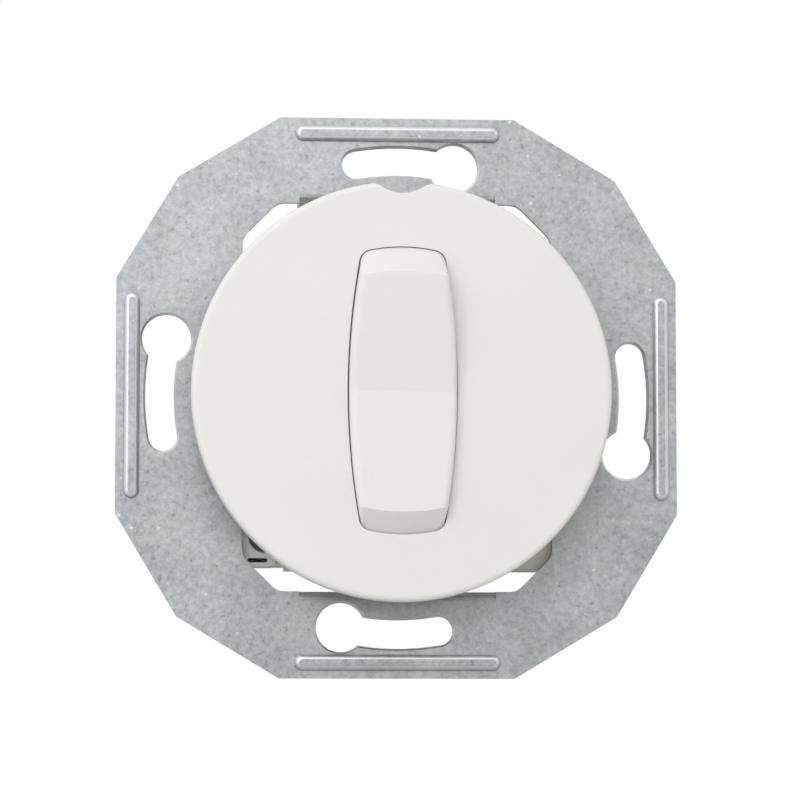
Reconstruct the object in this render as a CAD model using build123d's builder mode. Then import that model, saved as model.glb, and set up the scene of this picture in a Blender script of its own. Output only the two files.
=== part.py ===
from build123d import *
import math
import os

os.makedirs("parts", exist_ok=True)

# Millimetres. X is to the right, Z is up and the front faces -Y. The origin is the centre of the mounting
# ring's back face, so the finished wall is at y = 0. A height is measured from the wall towards the
# viewer, and what lies inside the wall box has a negative height.

# Mounting ring
ring_thickness = 1.0
ring_side = 29.7
ring_set_back = 7.75
ring_corner_radius = 0.6
screw_circle = 60.0
slot_width = 3.6
keyhole_diameter = 6.2
slot_head_angle = 13.8
slot_tail_angle = 10.0
slot_edge_bevel = 0.25
bead_length = 26.0
bead_width = 2.0
bead_height = 0.7
bead_gap = 0.28
bead_margin = 1.99
bead_wall = 0.5
bead_edge_radius = 0.68
opening_ledge = 0.9
opening_chamfer = 4.45
opening_radius = 2.4
tab_gap = 2.3
tab_step = 0.6
tab_width = 24.8
tab_depth = 6.0
tab_bend_radius = 0.5
relief_width = 0.5
relief_depth = 0.5
latch_play = 0.15

# Base housing
base_width = 41.0
base_height = 43.4
base_round = 28.6
base_depth = 23.0
base_wall = 1.6
base_floor = 1.6
base_edge_radius = 0.8
rear_step = 1.2
rear_step_floor = 0.5
top_cut_width = 8.0
top_cut_height = 8.2
pocket_corner = 7.5
divider_inner = 5.5
divider_wall = 1.2
cross_wall_height = -6.8
latch_width = 8.0
latch_depth = 2.6
latch_distance = 2.2
latch_reach = 0.4
spring_post_wall = 1.3
guide_wall = 1.0
guide_reach = 3.0
wire_entry_length = 4.8
wire_entry_width = 3.4
wire_entry_lead = 0.5
wire_entry_x = 9.9
terminal_z = 10.0

# Mechanism cover
cover_plate_seat = -1.4
cover_plate_thickness = 1.8
cover_plate_gap = 0.15
tail_window_width = 7.6
tail_window_height = 12.0
clip_width = 3.0
clip_thickness = 1.1
clip_length = 4.6
clip_hook = 0.8
clip_x = 8.6
bearing_wall = 2.0
bearing_width = 6.0
bearing_round = 2.6

# Cover disc
disc_diameter = 52.4
disc_height = 10.0
disc_rim_height = 6.8
disc_wall = 1.8
roll_width = 1.7
roll_height = 1.4
window_half_width = 6.85
window_half_length = 17.95
window_corner = 1.7
collar_wall = 1.0
collar_height = 0.8
notch_radius = 4.8
notch_depth = 1.5
notch_shoulder = 2.0
post_x = 12.6
post_z = 3.5
post_width = 3.6
post_depth = 2.4
post_tongue = 1.4
post_hook = 0.9
rib_wall = 1.0

# Rocker
pivot_height = 5.5
rocker_tilt = 3.0
button_gap = 0.22
button_end_gap = 0.32
barrel_side_radius = 92.0
barrel_end_radius = 19.6
button_corner = 1.5
button_inner_corner = 0.4
button_low = 7.4
valley_height = 11.6
facet_slope = 5.0
bevel_low = 10.35
bevel_slope = 44.0
bevel_run = 4.2
button_edge_radius = 0.8
button_wall = 1.4
button_roof_height = 9.9
axle_radius = 1.5
axle_clearance = 0.06
axle_chamfer = 0.3
hub_length = 4.8
carrier_half_width = 4.3
carrier_half_length = 9.0
carrier_plate = 2.1
carrier_corner = 1.0
tail_radius = 2.7
tail_wall = 0.75
tail_end = -6.4
tail_bore_end = 2.0

# Contact mechanism
spring_wire = 0.5
spring_turns = 5
plunger_top = -4.1
plunger_gap = 0.3
plunger_nose_radius = 1.5
sliding_gap = 0.06
knife_height = -9.55
blade_tilt = 4.5
blade_length = 17.0
blade_width = 4.4
blade_ear_width = 5.7
blade_thickness = 0.8
groove_depth = 0.33
groove_width = 1.2
knife_gap = 0.08
tip_radius = 1.4
tip_height = 0.6
tip_chamfer = 0.2
tip_z = 7.2
contact_gap = 0.2
strip_thickness = 0.8
arm_width = 4.0
arm_corner_radius = 1.3
rail_front = -3.0
rail_half_length = 14.0
rail_inner_z = 4.0
knife_width = 1.8
fit_gap = 0.2

# Wire clamps and release levers
leaf_thickness = 0.5
leaf_width = 4.8
leaf_outer_x = 14.4
leaf_front = -5.5
leaf_inner_x = 11.2
leaf_tip_x = 8.7
leaf_tip_height = -15.5
leaf_end_height = -18.0
leaf_bend = 1.4
lever_front = -2.0
lever_thickness = 2.8
lever_inner_x = 15.2
lever_outer_x = 18.6
lever_reach_z = 12.2
lever_travel = 1.2
lever_edge_radius = 0.3
neck_passage = 4.0
finger_width = 3.0
finger_x = 11.0
running_gap = 0.3
pad_front = -0.4
pad_depth = 5.6
pad_inner_x = 15.3
pad_top_z = -15.5
pad_gap_x = 1.3
pad_corner_radius = 0.5
pad_rim_x = -18.7
pad_rim_z = -19.7
pad_rim_radius = 2.0
pad_slot_length = 2.5
pad_slot_width = 0.55
pad_slot_depth = 2.0
pad_slot_x = -17.55
pad_slot_z = -20.65
stub_width = 3.0
stub_height = 4.0
stub_z = 6.0

# Fixing claws
claw_screw_reach = 2.4
claw_screw_radius = 1.5
claw_screw_play = 0.08
screw_head_radius = 2.6
screw_head_height = 1.6
screw_head_edge = 0.5
screw_head_lift = 0.1
screw_recess_length = 3.2
screw_recess_width = 0.8
screw_recess_depth = 0.9
screw_end_height = -22.6
screw_point = 0.5
nut_height = -16.6
nut_thickness = 2.8
nut_half_width = 2.8
nut_end_radius = 1.4
claw_pin_reach = 1.6
claw_pin_radius = 0.9
claw_pin_play = 0.07
claw_pin_proud = 0.1
claw_thickness = 1.0
claw_clearance = 0.2
claw_plate_gap = 0.3
claw_front_height = -5.5
claw_bend_height = -8.5
claw_flare = 0.2
claw_bend_radius = 2.0
claw_notch = 3.0
claw_rear_height = -18.3

# Values that follow
keyhole_top = screw_circle / 2 * math.cos(math.radians(slot_head_angle)) + keyhole_diameter / 2
bead_z = keyhole_top + bead_gap + bead_width / 2
half_ring = bead_z + bead_margin
ring_corner = half_ring - ring_set_back
opening_width = base_width - 2 * opening_ledge
disc_radius = disc_diameter / 2
disc_inner_height = disc_height - disc_wall
half_base_width = base_width / 2
half_base_height = base_height / 2
tab_face = half_base_height + tab_gap
half_opening = tab_face + tab_step
bend_z = tab_face + ring_thickness + tab_bend_radius
claw_screw_x = half_base_width + claw_screw_reach
claw_pin_x = claw_screw_x + claw_pin_reach
pocket_half_width = half_base_width - base_wall
pocket_half_height = half_base_height - base_wall
divider_outer = divider_inner + divider_wall
rail_inner_x = divider_outer + fit_gap
rail_outer_x = rail_inner_x + strip_thickness
floor_height = base_floor - base_depth
axle_half_length = window_half_width + collar_wall + running_gap / 2 + bearing_wall
bearing_inner_x = axle_half_length - bearing_wall + running_gap / 2
plate_front = cover_plate_seat + cover_plate_thickness
tilt_sin = math.sin(math.radians(rocker_tilt))
tilt_cos = math.cos(math.radians(rocker_tilt))
blade_sin = math.sin(math.radians(blade_tilt))
blade_cos = math.cos(math.radians(blade_tilt))
blade_back = knife_gap - groove_depth
moving_tip_height = knife_height + (blade_back - tip_height) * blade_cos - (tip_z + tip_radius) * blade_sin
strip_front = moving_tip_height - contact_gap - tip_height
notch_height = pad_front - pad_depth - lever_travel - running_gap
rear_step_height = notch_height - rear_step_floor
ear_inner = nut_half_width + claw_clearance
ear_outer = ear_inner + claw_thickness
guide_z = ear_outer + claw_pin_proud + running_gap + guide_wall / 2
leaf_post_x = leaf_outer_x + leaf_thickness / 2 + fit_gap + spring_post_wall / 2


# Plane at a height, seen from the front: its x is X and its y is Z
def level(height):
    return Plane.XZ.offset(height)


# Section plane through the middle of a turned part: its x is the radius and its y is the height
section = Plane(origin=(0, 0, 0), x_dir=(1, 0, 0), z_dir=(0, 0, -1))

# Planes that lean with the rocker, about its pivot
rocker_plane = Plane(origin=(0, -pivot_height, 0), x_dir=(1, 0, 0), z_dir=(0, -tilt_cos, -tilt_sin))
rocker_side = Plane(origin=(0, -pivot_height, 0), x_dir=(0, -tilt_sin, tilt_cos), z_dir=(1, 0, 0))
rocker_axis = Axis(rocker_plane.origin, rocker_plane.z_dir)

# Planes that lean with the contact blade, about the knife edge
blade_plane = Plane(origin=(0, -knife_height, 0), x_dir=(1, 0, 0), z_dir=(0, -blade_cos, blade_sin))
blade_side = Plane(origin=(0, -knife_height, 0), x_dir=(0, blade_sin, blade_cos), z_dir=(1, 0, 0))
blade_axis = Axis(blade_plane.origin, blade_plane.z_dir)


def rocker_level(height):
    return rocker_plane.offset(height - pivot_height)


# Barrel outline: the overlap of two large side circles and two end circles
def barrel(half_width, half_length, corner):
    with BuildSketch() as outline:
        with Locations((half_width - barrel_side_radius, 0)):
            Circle(barrel_side_radius)
        with Locations((barrel_side_radius - half_width, 0)):
            Circle(barrel_side_radius, mode=Mode.INTERSECT)
        with Locations((0, half_length - barrel_end_radius)):
            Circle(barrel_end_radius, mode=Mode.INTERSECT)
        with Locations((0, barrel_end_radius - half_length)):
            Circle(barrel_end_radius, mode=Mode.INTERSECT)
        fillet(outline.vertices(), radius=corner)
    return outline.sketch


# Base outline: a rectangle trimmed by the round wall box, with both top corners cut off
def base_outline(inset):
    with BuildSketch() as outline:
        Rectangle(base_width - 2 * inset, base_height - 2 * inset)
        Circle(base_round - inset, mode=Mode.INTERSECT)
        for side in (-1, 1):
            with BuildLine():
                Polyline(
                    (side * half_base_width, half_base_height),
                    (side * half_base_width, half_base_height - top_cut_height - inset / 2),
                    (side * (half_base_width - top_cut_width - inset / 2), half_base_height),
                    close=True,
                )
            make_face(mode=Mode.SUBTRACT)
    return outline.sketch


# Hollow of the base: a rectangle with four cut corners
def pocket_outline(inset):
    with BuildSketch() as outline:
        Rectangle(2 * (pocket_half_width - inset), 2 * (pocket_half_height - inset))
        chamfer(outline.vertices(), length=pocket_corner)
    return outline.sketch


# Four arc slots round the ring, each with a keyhole head at its clockwise end
def keyholes():
    slot_sweep = slot_head_angle + slot_tail_angle
    with BuildSketch() as outline:
        for quarter in range(4):
            head_angle = 90 * quarter + 90 - slot_head_angle
            SlotArc(CenterArc((0, 0), screw_circle / 2, head_angle, slot_sweep), height=slot_width)
        with PolarLocations(screw_circle / 2, 4, start_angle=90 - slot_head_angle):
            Circle(keyhole_diameter / 2)
    return outline.sketch


# Mounting ring: a stamped plate with arc keyholes, stiffening beads and two tabs bent back
half_side = ring_side / 2
ring_points = []
for quarter in range(4):
    for x, z in [(-half_side, half_ring), (half_side, half_ring), (ring_corner, ring_corner)]:
        ring_points.append(Vector(x, z).rotate(Axis.Z, -90 * quarter))

with BuildPart() as mounting_ring:
    with BuildSketch(level(0)) as ring_outline:
        with BuildLine():
            Polyline(*ring_points, close=True)
        make_face()
        fillet(ring_outline.vertices(), radius=ring_corner_radius)
    extrude(amount=ring_thickness)
    with BuildSketch(level(0)):
        add(keyholes())
    extrude(amount=ring_thickness, mode=Mode.SUBTRACT)
    ring_front = mounting_ring.faces().sort_by(Axis.Y)[0]
    chamfer([edge for wire in ring_front.inner_wires() for edge in wire.edges()], length=slot_edge_bevel)
    with BuildSketch(level(0)) as opening:
        Rectangle(opening_width, 2 * half_opening)
        chamfer(opening.vertices(), length=opening_chamfer)
        fillet(opening.vertices(), radius=opening_radius)
        Rectangle(tab_width + 2 * relief_width, 2 * bend_z)
        with Locations((-(tab_width + relief_width) / 2, 0), ((tab_width + relief_width) / 2, 0)):
            SlotOverall(2 * (bend_z + relief_depth), relief_width, rotation=90)
        with Locations((-claw_screw_x, 0), (claw_screw_x, 0)):
            Circle(claw_screw_radius + claw_screw_play)
    extrude(amount=ring_thickness, mode=Mode.SUBTRACT)
    with BuildSketch(Plane.YZ):
        with BuildLine():
            CenterArc((tab_bend_radius, bend_z), tab_bend_radius + ring_thickness, 180, 90)
            Line((tab_bend_radius, tab_face), (tab_depth, tab_face))
            Line((tab_depth, tab_face), (tab_depth, tab_face + ring_thickness))
            Line((tab_depth, tab_face + ring_thickness), (tab_bend_radius, tab_face + ring_thickness))
            CenterArc((tab_bend_radius, bend_z), tab_bend_radius, 180, 90)
            Line((0, bend_z), (-ring_thickness, bend_z))
        make_face()
        mirror(about=Plane.XZ)
    extrude(amount=tab_width / 2, both=True)
    with BuildSketch(Plane.XY):
        with Locations((0, latch_distance + latch_depth / 2)):
            Rectangle(latch_width + 2 * latch_play, latch_depth + 2 * latch_play)
    extrude(amount=half_ring, both=True, mode=Mode.SUBTRACT)
    with BuildSketch(level(ring_thickness)):
        with PolarLocations(bead_z, 4):
            SlotOverall(bead_length, bead_width, rotation=90)
    extrude(amount=bead_height)
    fillet(mounting_ring.faces().sort_by(Axis.Y)[:4].edges(), radius=bead_edge_radius)
    with BuildSketch(level(0)):
        with PolarLocations(bead_z, 4):
            SlotOverall(bead_length - 2 * bead_wall, bead_width - 2 * bead_wall, rotation=90)
    extrude(amount=bead_height, mode=Mode.SUBTRACT)
mounting_ring.part.label = "mounting_ring"

# Base housing: a moulded box with a middle chamber, side chambers, latches and guides for the claws
with BuildPart() as base_housing:
    with BuildSketch(level(-base_depth)) as rear_outline:
        add(base_outline(0))
        Rectangle(base_width, base_height - 2 * rear_step, mode=Mode.INTERSECT)
        fillet(rear_outline.vertices(), radius=base_edge_radius)
    extrude(amount=base_depth + rear_step_height)
    with BuildSketch(level(rear_step_height)) as front_outline:
        add(base_outline(0))
        fillet(front_outline.vertices(), radius=base_edge_radius)
    extrude(amount=-rear_step_height)
    with BuildSketch(level(floor_height)):
        add(pocket_outline(0))
        Rectangle(base_width, 2 * (pocket_half_height - rear_step), mode=Mode.INTERSECT)
        with Locations((-divider_inner - divider_wall / 2, 0), (divider_inner + divider_wall / 2, 0)):
            Rectangle(divider_wall, base_height, mode=Mode.SUBTRACT)
        with Locations((-half_base_width / 2 - divider_outer / 2, 0)):
            Rectangle(half_base_width - divider_outer, divider_wall, mode=Mode.SUBTRACT)
        for x in (-1, 1):
            for z in (-1, 1):
                with Locations((x * leaf_post_x, z * terminal_z)):
                    Rectangle(spring_post_wall, leaf_width, mode=Mode.SUBTRACT)
    extrude(amount=cross_wall_height - floor_height, mode=Mode.SUBTRACT)
    with BuildSketch(level(cross_wall_height)):
        add(pocket_outline(0))
        with Locations((-divider_inner - divider_wall / 2, 0), (divider_inner + divider_wall / 2, 0)):
            Rectangle(divider_wall, base_height, mode=Mode.SUBTRACT)
    extrude(amount=cover_plate_seat - cross_wall_height, mode=Mode.SUBTRACT)
    with BuildSketch(level(cover_plate_seat)):
        add(pocket_outline(0))
    extrude(amount=-cover_plate_seat, mode=Mode.SUBTRACT)
    slot_floor = strip_front - strip_thickness - fit_gap
    with BuildSketch(level(slot_floor)):
        for z in (-1, 1):
            with Locations((-divider_inner - divider_wall / 2, z * tip_z)):
                Rectangle(2 * divider_wall, arm_width + 2 * fit_gap)
        with Locations((divider_inner + divider_wall / 2, 0)):
            Rectangle(2 * divider_wall, arm_width + 2 * fit_gap)
    extrude(amount=cover_plate_seat - slot_floor, mode=Mode.SUBTRACT)
    with BuildSketch(level(rear_step_height)):
        with Locations((-pad_inner_x + pad_gap_x, pad_top_z + running_gap)):
            Rectangle(base_width, base_height, align=(Align.MAX, Align.MAX))
    extrude(amount=-rear_step_height, mode=Mode.SUBTRACT)
    with BuildSketch(level(notch_height)):
        with Locations((-pocket_half_width, pad_top_z)):
            passage_width = pocket_half_width - lever_inner_x + running_gap
            Rectangle(passage_width, neck_passage, align=(Align.MIN, Align.MIN))
    extrude(amount=cover_plate_seat - notch_height, mode=Mode.SUBTRACT)
    with BuildSketch(level(-base_depth)):
        with GridLocations(2 * wire_entry_x, 2 * terminal_z, 2, 2):
            SlotOverall(wire_entry_length, wire_entry_width, rotation=90)
    extrude(amount=base_floor, mode=Mode.SUBTRACT)
    rear = base_housing.faces().sort_by(Axis.Y)[-1]
    chamfer([edge for wire in rear.inner_wires() for edge in wire.edges()], length=wire_entry_lead)
    latch_top = tab_face + ring_thickness + latch_reach
    with BuildSketch(Plane.YZ):
        with BuildLine():
            Polyline(
                (latch_distance, half_base_height - base_wall / 2),
                (latch_distance, latch_top),
                (latch_distance + latch_depth / 2, latch_top),
                (latch_distance + latch_depth, tab_face),
                (latch_distance + latch_depth, half_base_height - base_wall / 2),
                close=True,
            )
        make_face()
        mirror(about=Plane.XZ)
    extrude(amount=latch_width / 2, both=True)
    with BuildSketch(level(-base_depth)):
        for side in (-1, 1):
            for z in (-1, 1):
                with Locations((side * (half_base_width + guide_reach / 2 - base_wall / 4), z * guide_z)):
                    Rectangle(guide_reach + base_wall / 2, guide_wall)
    extrude(amount=base_depth - 2 * ring_thickness)
    with BuildSketch(level(-base_depth)):
        for side in (-1, 1):
            with Locations((side * (half_base_width + guide_reach / 2), 0)):
                Rectangle(guide_reach + base_wall, 2 * guide_z)
        with Locations((-claw_screw_x, 0), (claw_screw_x, 0)):
            Circle(claw_screw_radius + claw_screw_play, mode=Mode.SUBTRACT)
    extrude(amount=base_floor)
    with BuildSketch(level(cover_plate_seat - clip_length - fit_gap)):
        for side in (-1, 1):
            for z in (-1, 1):
                with Locations((side * clip_x, z * half_base_height)):
                    Rectangle(clip_width + 2 * fit_gap, 2 * base_wall)
    extrude(amount=2 * clip_hook + 2 * fit_gap, mode=Mode.SUBTRACT)
base_housing.part.label = "base_housing"

# Mechanism cover: closes the base, carries the rocker's bearings and takes the cover disc's posts
with BuildPart() as mechanism_cover:
    with BuildSketch(level(cover_plate_seat)):
        add(pocket_outline(cover_plate_gap))
        Rectangle(tail_window_width, tail_window_height, mode=Mode.SUBTRACT)
        with Locations((-pad_inner_x + pad_gap_x, pad_top_z + running_gap)):
            Rectangle(base_width, base_height, align=(Align.MAX, Align.MAX), mode=Mode.SUBTRACT)
        with Locations(((lever_inner_x + lever_outer_x) / 2 - fit_gap, stub_z)):
            Rectangle(stub_width + 2 * running_gap, stub_height + 2 * running_gap, mode=Mode.SUBTRACT)
        with GridLocations(2 * post_x, 2 * post_z, 2, 2):
            Rectangle(post_tongue + 2 * fit_gap + post_hook / 2, post_width + 2 * fit_gap, mode=Mode.SUBTRACT)
    extrude(amount=cover_plate_thickness)
    for side in (-1, 1):
        with BuildSketch(Plane.YZ.offset(side * bearing_inner_x)):
            with Locations((-(pivot_height + plate_front) / 2, 0)):
                Rectangle(pivot_height - plate_front, bearing_width)
            with Locations((-pivot_height, 0)):
                Circle(bearing_round)
                Circle(axle_radius + axle_clearance, mode=Mode.SUBTRACT)
        extrude(amount=side * bearing_wall)
    with BuildSketch(level(cover_plate_seat)):
        clip_z = pocket_half_height - cover_plate_gap - clip_thickness / 2
        with GridLocations(2 * clip_x, 2 * clip_z, 2, 2):
            Rectangle(clip_width, clip_thickness)
    extrude(amount=-clip_length)
    with BuildSketch(level(cover_plate_seat - clip_length)):
        with GridLocations(2 * clip_x, 2 * (clip_z + clip_hook / 2), 2, 2):
            Rectangle(clip_width, clip_thickness + clip_hook)
    extrude(amount=2 * clip_hook)
mechanism_cover.part.label = "mechanism_cover"

# Cover disc: a flat round shell with a rolled edge, the rocker window, a notch at the top and four snap posts
with BuildPart() as cover_disc:
    with BuildSketch(section):
        with BuildLine():
            roll_foot = disc_height - roll_height
            Line((0, disc_height), (disc_radius - roll_width, disc_height))
            roll_centre = (disc_radius - roll_width, roll_foot)
            EllipticalCenterArc(roll_centre, roll_width, roll_height, 0, arc_size=90)
            Line((disc_radius, roll_foot), (disc_radius, disc_rim_height))
            Line((disc_radius, disc_rim_height), (disc_radius - disc_wall, disc_rim_height))
            Line((disc_radius - disc_wall, disc_rim_height), (disc_radius - roll_width, disc_inner_height))
            Line((disc_radius - roll_width, disc_inner_height), (0, disc_inner_height))
            Line((0, disc_inner_height), (0, disc_height))
        make_face()
    revolve(axis=Axis.Y)
    with BuildSketch(level(disc_rim_height)) as silhouette:
        Circle(disc_radius)
        with Locations((0, disc_radius - notch_depth + notch_radius)):
            Circle(notch_radius, mode=Mode.SUBTRACT)
        fillet(silhouette.vertices(), radius=notch_shoulder)
    extrude(amount=disc_height - disc_rim_height, mode=Mode.INTERSECT)
    with BuildSketch(level(disc_inner_height)):
        collar_corner = window_corner + collar_wall
        add(barrel(window_half_width + collar_wall, window_half_length + collar_wall, collar_corner))
    extrude(amount=-collar_height)
    with BuildSketch(level(disc_inner_height)):
        for side in (-1, 1):
            with Locations((side * (post_x + disc_radius - disc_wall) / 2, 0)):
                Rectangle(disc_radius - disc_wall - post_x - disc_wall, rib_wall)
        for side in (-1, 1):
            with Locations((0, side * (window_half_length + disc_radius) / 2)):
                Rectangle(rib_wall, disc_radius - window_half_length - 2 * disc_wall)
    extrude(amount=disc_rim_height - disc_inner_height)
    with BuildSketch(level(plate_front)):
        with GridLocations(2 * post_x, 2 * post_z, 2, 2):
            Rectangle(post_depth, post_width)
    extrude(amount=disc_inner_height - plate_front)
    with BuildSketch(level(cover_plate_seat - fit_gap)):
        with GridLocations(2 * post_x, 2 * post_z, 2, 2):
            Rectangle(post_tongue, post_width)
    extrude(amount=cover_plate_thickness + fit_gap)
    with BuildSketch(level(cover_plate_seat - fit_gap)):
        for side in (-1, 1):
            for z in (-post_z, post_z):
                with Locations((side * (post_x + post_hook / 2), z)):
                    Rectangle(post_tongue + post_hook, post_width)
    extrude(amount=-post_hook)
    with BuildSketch(level(disc_height)):
        add(barrel(window_half_width, window_half_length, window_corner))
    extrude(amount=-disc_height, mode=Mode.SUBTRACT)
cover_disc.part.label = "cover_disc"

# Rocker button: a barrel-shaped shell with a shallow valley and two conical end bevels
button_half_width = window_half_width - button_gap
button_half_length = window_half_length - button_end_gap
button_reach = button_half_length + button_wall
valley_rise = button_reach * math.tan(math.radians(facet_slope))
bevel_slant = math.tan(math.radians(bevel_slope))
with BuildPart() as rocker_button:
    with BuildSketch(rocker_level(button_low)):
        add(barrel(button_half_width, button_half_length, button_corner))
    extrude(amount=valley_height + valley_rise - button_low)
    with BuildSketch(rocker_side):
        with BuildLine():
            Polyline(
                (-button_reach, 0),
                (button_reach, 0),
                (button_reach, valley_height + valley_rise - pivot_height),
                (0, valley_height - pivot_height),
                (-button_reach, valley_height + valley_rise - pivot_height),
                close=True,
            )
        make_face()
    extrude(amount=2 * button_half_width, both=True, mode=Mode.INTERSECT)
    for end in (-1, 1):
        cone_centre = end * (button_half_length - barrel_end_radius)
        cone_rim = cone_centre + end * (barrel_end_radius + button_gap)
        cone_rise = bevel_run * bevel_slant
        cone_foot = cone_centre + end * barrel_end_radius
        with BuildSketch(rocker_side):
            with BuildLine():
                Polyline(
                    (cone_centre, 0),
                    (cone_rim, 0),
                    (cone_rim, bevel_low - pivot_height - button_gap * bevel_slant),
                    (cone_foot - end * bevel_run, bevel_low - pivot_height + cone_rise),
                    (cone_centre, bevel_low - pivot_height + cone_rise),
                    close=True,
                )
            make_face()
        cone_origin = rocker_side.from_local_coords(Vector(cone_centre, 0, 0))
        revolve(axis=Axis(cone_origin, rocker_side.y_dir), mode=Mode.INTERSECT)
    top_faces = [face for face in rocker_button.faces() if face.normal_at().dot(rocker_plane.z_dir) > 0.3]
    top_edges = ShapeList([edge for face in top_faces for edge in face.edges()])
    rim_edges = [edge for edge in top_edges if sum(edge.is_same(other) for other in top_edges) == 1]
    fillet(rim_edges, radius=button_edge_radius)
    with BuildSketch(rocker_level(button_low)):
        add(barrel(button_half_width - button_wall, button_half_length - button_wall, button_inner_corner))
    extrude(amount=button_roof_height - button_low, mode=Mode.SUBTRACT)
rocker_button.part.label = "rocker_button"

# Rocker carrier: the seesaw under the button, with its axle and the spring tube
tail_bore_radius = tail_radius - tail_wall
with BuildPart() as rocker_carrier:
    with BuildSketch(rocker_level(button_roof_height)):
        Rectangle(2 * carrier_half_width, 2 * carrier_half_length)
    extrude(amount=-carrier_plate)
    fillet(rocker_carrier.edges().filter_by(rocker_axis), radius=carrier_corner)
    with BuildSketch(rocker_level(button_roof_height - carrier_plate)):
        Rectangle(2 * carrier_half_width, hub_length)
    extrude(amount=-(button_roof_height - carrier_plate - tail_bore_end - tail_wall))
    with BuildSketch(rocker_side):
        Circle(axle_radius)
    extrude(amount=axle_half_length, both=True)
    with BuildSketch(rocker_level(tail_end)):
        Circle(tail_radius)
    extrude(amount=pivot_height - tail_end)
    with BuildSketch(rocker_level(tail_end)):
        Circle(tail_bore_radius)
    extrude(amount=tail_bore_end - tail_end, mode=Mode.SUBTRACT)
    axle_ends = rocker_carrier.edges().filter_by(GeomType.CIRCLE).sort_by(Axis.X)
    chamfer([axle_ends[0], axle_ends[-1]], length=axle_chamfer)
rocker_carrier.part.label = "rocker_carrier"

# Contact spring: a helical compression spring in the tail tube
spring_radius = tail_bore_radius - 2 * sliding_gap - spring_wire / 2
spring_length = tail_bore_end - plunger_top - spring_wire - 2 * sliding_gap
with BuildPart() as contact_spring:
    coil_start = rocker_level(plunger_top + spring_wire / 2 + sliding_gap)
    with BuildLine() as coil:
        Helix(
            pitch=spring_length / spring_turns,
            height=spring_length,
            radius=spring_radius,
            center=coil_start.origin,
            direction=coil_start.z_dir,
        )
    with BuildSketch(Plane(origin=coil.line @ 0, z_dir=coil.line % 0)):
        RegularPolygon(spring_wire / 2, 6)
    sweep(path=coil.line, is_frenet=True)
contact_spring.part.label = "contact_spring"

# Spring plunger: the cap between the spring and the contact blade
plunger_radius = tail_bore_radius - sliding_gap
plunger_tip = knife_height + blade_thickness - (groove_depth - knife_gap) + plunger_gap
with BuildPart() as spring_plunger:
    with BuildSketch(rocker_level(plunger_top)):
        Circle(plunger_radius)
    extrude(amount=plunger_tip - plunger_top)
    fillet(spring_plunger.edges().group_by(rocker_axis)[0], radius=plunger_nose_radius)
    with BuildSketch(rocker_level(plunger_top)):
        Circle(spring_radius - spring_wire / 2 - 2 * sliding_gap)
    extrude(amount=spring_wire)
spring_plunger.part.label = "spring_plunger"

# Moving contact: a stamped blade that rocks on the knife edge
with BuildPart() as moving_contact:
    with BuildSketch(blade_plane.offset(blade_back)):
        SlotOverall(blade_length, blade_width, rotation=90)
        Rectangle(blade_ear_width, blade_width)
    extrude(amount=blade_thickness)
    with BuildSketch(blade_side):
        with BuildLine():
            half_groove = groove_width / 2
            Polyline((0, knife_gap), (half_groove, blade_back), (-half_groove, blade_back), close=True)
        make_face()
    extrude(amount=blade_width, both=True, mode=Mode.SUBTRACT)
moving_contact.part.label = "moving_contact"

# Silver tips riveted on the blade
with BuildPart() as moving_contact_tips:
    with BuildSketch(blade_plane.offset(blade_back)):
        with Locations((0, tip_z), (0, -tip_z)):
            Circle(tip_radius)
    extrude(amount=-tip_height)
    chamfer(moving_contact_tips.edges().group_by(blade_axis)[0], length=tip_chamfer)
moving_contact_tips.part.label = "moving_contact_tips"

# Common terminal: a rail for two wires and the strip with the knife edge
with BuildPart() as common_terminal:
    with BuildSketch(level(rail_front)):
        with Locations((rail_inner_x + strip_thickness / 2, 0)):
            Rectangle(strip_thickness, 2 * rail_half_length)
    extrude(amount=floor_height + fit_gap - rail_front)
    with BuildSketch(level(strip_front)):
        with Locations((-knife_width, 0)):
            Rectangle(knife_width + rail_outer_x, arm_width, align=(Align.MIN, Align.CENTER))
    extrude(amount=-strip_thickness)
    with BuildSketch(Plane.YZ):
        with BuildLine():
            foot_y = -strip_front
            Polyline((-knife_height, 0), (foot_y, strip_thickness), (foot_y, -strip_thickness), close=True)
        make_face()
    extrude(amount=knife_width, both=True)
common_terminal.part.label = "common_terminal"

# Fixed contacts: a rail for one wire and an arm under each end of the blade
for name, up in (("fixed_contact_upper", 1), ("fixed_contact_lower", -1)):
    with BuildPart() as fixed_contact:
        with BuildSketch(level(rail_front)):
            with Locations((-rail_inner_x - strip_thickness / 2, up * (rail_half_length + rail_inner_z) / 2)):
                Rectangle(strip_thickness, rail_half_length - rail_inner_z)
        extrude(amount=floor_height + fit_gap - rail_front)
        with BuildSketch(level(strip_front)):
            with Locations((-rail_outer_x, up * tip_z)):
                arm_length = rail_outer_x + arm_width / 2
                Rectangle(arm_length, arm_width, align=(Align.MIN, Align.CENTER))
        extrude(amount=-strip_thickness)
        fillet(fixed_contact.edges().filter_by(Axis.Y).sort_by(Axis.X)[-2:], radius=arm_corner_radius)
    fixed_contact.part.label = name
    export_step(fixed_contact.part, f"parts/{name}.step")

# Silver tips riveted on the two arms
with BuildPart() as fixed_contact_tips:
    with BuildSketch(level(strip_front)):
        with Locations((0, tip_z), (0, -tip_z)):
            Circle(tip_radius)
    extrude(amount=tip_height)
    chamfer(fixed_contact_tips.edges().group_by(Axis.Y)[0], length=tip_chamfer)
fixed_contact_tips.part.label = "fixed_contact_tips"

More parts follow.
